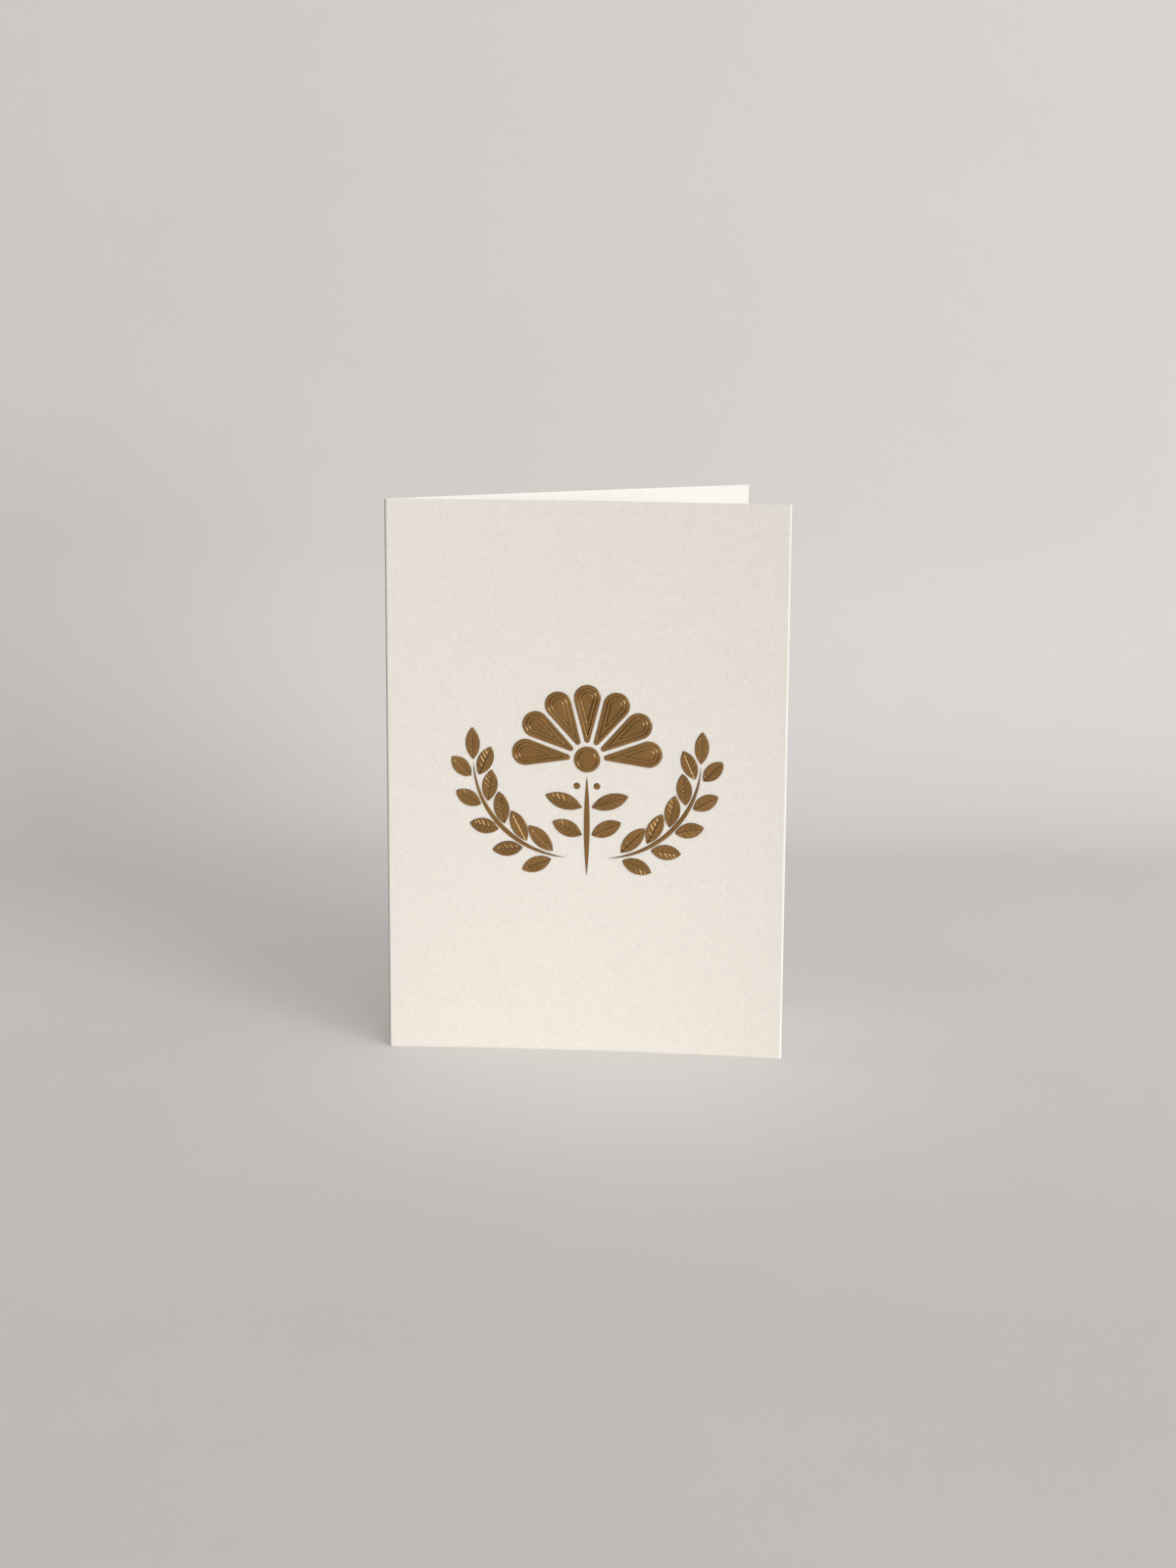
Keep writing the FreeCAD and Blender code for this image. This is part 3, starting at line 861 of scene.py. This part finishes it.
def hub_disc(relief, centre):
    """The hub: a flat disc with one pressed ring."""
    ring_line = CONTOUR_LINES[:1]
    insets = [inset for inset in contour_insets(HUB_RADIUS) if inset < HUB_MIDDLE_INSETS[0]]
    rings = []
    for inset in [*insets, *HUB_MIDDLE_INSETS]:
        ring = circle(centre, HUB_RADIUS - inset, HUB_SIDES)
        rings.append([contour_point(place, inset, ring_line) for place in ring])
    rings.append([contour_point(centre, HUB_RADIUS, ring_line)])
    relief.rings(rings)


def make_fan():
    """The hub and its petals."""
    relief = Relief("foil_fan")
    hub = Vector((0, HUB_RISE))
    hub_disc(relief, hub)
    for number in range(PETAL_COUNT):
        degrees = 90 + (number - (PETAL_COUNT - 1) / 2) * PETAL_PITCH
        petal(relief, hub, degrees)
    return relief.piece()


def flipped(point):
    """The same point on the other side of the design's axis."""
    return Vector((-point[0], point[1]))


def make_stem():
    """The upright stem, its leaves and the two berries under the hub."""
    relief = Relief("foil_stem")
    foot = Vector((0, STEM_TOP - STEM_LENGTH))
    places = spread(0, STEM_LENGTH, STEM_STEPS)
    radius = lens_radius(STEM_LENGTH, STEM_WIDTH)
    half_widths = [math.sqrt(radius ** 2 - (place - STEM_LENGTH / 2) ** 2) - radius + STEM_WIDTH / 2
                   for place in places]
    round_strip(relief, [(ahead(foot, 90, place), 90) for place in places], half_widths)
    for number in range(STEM_LEAF_COUNT):
        rise = STEM_LEAF_RISE - number * STEM_LEAF_STEP
        length = STEM_LEAF_LENGTH - number * STEM_LEAF_TAPER
        degrees = STEM_LEAF_ANGLE + number * STEM_LEAF_TURN
        right = foot + Vector((STEM_WIDTH / 2 + LEAF_CLEARANCE, rise))
        leaf(relief, right, degrees, length, STEM_LEAF_WIDTH)
        leaf(relief, flipped(right), 180 - degrees, length, STEM_LEAF_WIDTH)
    berry = Vector((BERRY_REACH, STEM_TOP - BERRY_DROP))
    for centre in (berry, flipped(berry)):
        bead(relief, centre, BERRY_RADIUS, FOIL_RISE)
    return relief.piece()


def make_branch(name, side):
    """One leafy branch: side is 1 for the right-hand one and -1 for its mirror image."""
    relief = Relief(name)
    centre = Vector((BRANCH_REACH, BRANCH_RISE))

    def put_leaf(foot, degrees, length, width):
        if side < 0:
            foot, degrees = flipped(foot), 180 - degrees
        leaf(relief, foot, degrees, length, width)

    turns = spread(BRANCH_START, BRANCH_END, BRANCH_STEPS)
    line = []
    for turn in turns:
        point = ahead(centre, turn, BRANCH_RADIUS)
        line.append((point, turn + 90) if side > 0 else (flipped(point), 90 - turn))
    half_widths = [BRANCH_WIDTH / 2 * 4 * share * (1 - share) for share in spread(0, 1, BRANCH_STEPS)]
    round_strip(relief, line, half_widths)

    standoff = BRANCH_WIDTH / 2 + LEAF_CLEARANCE
    for number in range(LEAF_PAIRS):
        along = BRANCH_START + (BRANCH_END - BRANCH_START) * (number + 0.5) / LEAF_PAIRS
        for way, full_length in ((1, OUTER_LEAF_LENGTH), (-1, INNER_LEAF_LENGTH)):
            foot = ahead(centre, along, BRANCH_RADIUS + way * standoff)
            length = full_length - number * LEAF_TAPER
            put_leaf(foot, along + 90 - way * LEAF_SPREAD, length, LEAF_WIDTH)
    end = ahead(centre, BRANCH_END, BRANCH_RADIUS)
    tip = ahead(end, BRANCH_END + 90, LEAF_CLEARANCE)
    put_leaf(tip, BRANCH_END + 90, TIP_LEAF_LENGTH, TIP_LEAF_WIDTH)
    return relief.piece()


card_sheet = make_card_sheet()
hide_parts("folded_card")
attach(card_sheet, "root")

make_fan()
make_stem()
make_branch("foil_branch_right", 1)
make_branch("foil_branch_left", -1)


# Stage: a pale sweep, soft lamps and the camera
def make_backdrop():
    """A floor that turns up into a wall behind the card."""
    profile = [(-FLOOR_REACH, 0.0)]
    for turn in spread(0, 90, SWEEP_STEPS):
        angle = math.radians(turn)
        profile.append((SWEEP_START + SWEEP_RADIUS * math.sin(angle),
                        SWEEP_RADIUS * (1 - math.cos(angle))))
    profile.append((SWEEP_START + SWEEP_RADIUS, WALL_HEIGHT))
    points = []
    for away, height in profile:
        points.append((-FLOOR_REACH / MM, away / MM, height / MM))
        points.append((FLOOR_REACH / MM, away / MM, height / MM))
    faces = [(2 * k, 2 * k + 1, 2 * k + 3, 2 * k + 2) for k in range(len(profile) - 1)]
    backdrop = mesh_object("backdrop", points, faces, [backdrop_paper])
    return backdrop


def put_lamp(light, place, aim):
    """Stand a lamp at a place and aim it at a point."""
    lamp = bpy.data.objects.new(light.name, light)
    bpy.context.scene.collection.objects.link(lamp)
    lamp.location = place
    lamp.rotation_euler = (Vector(aim) - Vector(place)).to_track_quat("-Z", "Y").to_euler()
    return lamp


def soft_lamp(name, place, aim, width, height, power, colour):
    """A rectangular soft lamp aimed at a point."""
    light = bpy.data.lights.new(name, "AREA")
    light.shape = "RECTANGLE"
    light.size = width
    light.size_y = height
    light.energy = power
    light.color = colour
    return put_lamp(light, place, aim)


def window_lamps():
    """The window to the right in front of the sweep, and its weaker image in the foil."""
    window = soft_lamp("window", WINDOW_PLACE, WINDOW_AIM, WINDOW_WIDTH, WINDOW_HEIGHT,
                       WINDOW_POWER, WINDOW_COLOUR)
    window.visible_glossy = False
    glint = soft_lamp("window_glint", GLINT_PLACE, WINDOW_AIM, GLINT_WIDTH, GLINT_HEIGHT,
                      GLINT_POWER, GLINT_COLOUR)
    glint.visible_diffuse = False


def foot_lamp():
    """A narrow soft spot on the foot of the card and the floor in front of it."""
    light = bpy.data.lights.new("foot_light", "SPOT")
    light.spot_size = math.radians(FOOT_LIGHT_ANGLE)
    light.spot_blend = 1.0
    light.shadow_soft_size = FOOT_LIGHT_RADIUS
    light.energy = FOOT_LIGHT_POWER
    lamp = put_lamp(light, FOOT_LIGHT_PLACE, FOOT_LIGHT_AIM)
    lamp.visible_glossy = False


def light_room():
    """A soft room light, with the window and the foot lamp."""
    world = bpy.data.worlds.new("room")
    bpy.context.scene.world = world
    world.use_nodes = True
    tree = world.node_tree
    backlight = tree.nodes["Background"]
    backlight.inputs["Color"].default_value = (1.0, 1.0, 1.0, 1.0)
    beyond = add(tree, "ShaderNodeBackground")
    beyond.inputs["Color"].default_value = (*ROOM_SEEN, 1.0)
    way = add(tree, "ShaderNodeTexCoord").outputs["Generated"]
    slope = add(tree, "ShaderNodeVectorMath", operation="DOT_PRODUCT")
    join(tree, way, slope.inputs[0])
    slope.inputs[1].default_value = ROOM_SLOPE
    room = arithmetic(tree, "ADD", slope.outputs["Value"], ROOM_LIGHT)
    join(tree, room, backlight.inputs["Strength"])
    choice = add(tree, "ShaderNodeMixShader")
    join(tree, add(tree, "ShaderNodeLightPath").outputs["Is Camera Ray"], choice.inputs["Fac"])
    join(tree, backlight.outputs["Background"], choice.inputs[1])
    join(tree, beyond.outputs["Background"], choice.inputs[2])
    join(tree, choice.outputs["Shader"], tree.nodes["World Output"].inputs["Surface"])
    window_lamps()
    foot_lamp()


def place_camera():
    """The photograph's viewpoint."""
    data = bpy.data.cameras.new("viewpoint")
    data.sensor_fit = "VERTICAL"
    data.sensor_height = SENSOR_HEIGHT
    data.lens = FOCAL_LENGTH_PIXELS * SENSOR_HEIGHT / PHOTO_HEIGHT_PIXELS
    data.clip_start = 0.01
    data.clip_end = 20.0
    camera = bpy.data.objects.new("viewpoint", data)
    bpy.context.scene.collection.objects.link(camera)
    tilt = Matrix.Rotation(math.radians(90 - CAMERA_PITCH), 4, "X")
    roll = Matrix.Rotation(math.radians(CAMERA_ROLL), 4, "Z")
    camera.matrix_world = Matrix.Translation(Vector(CAMERA_PLACE) * MM) @ tilt @ roll
    bpy.context.scene.camera = camera


make_backdrop()
light_room()
place_camera()
bpy.context.scene.view_settings.view_transform = "Standard"
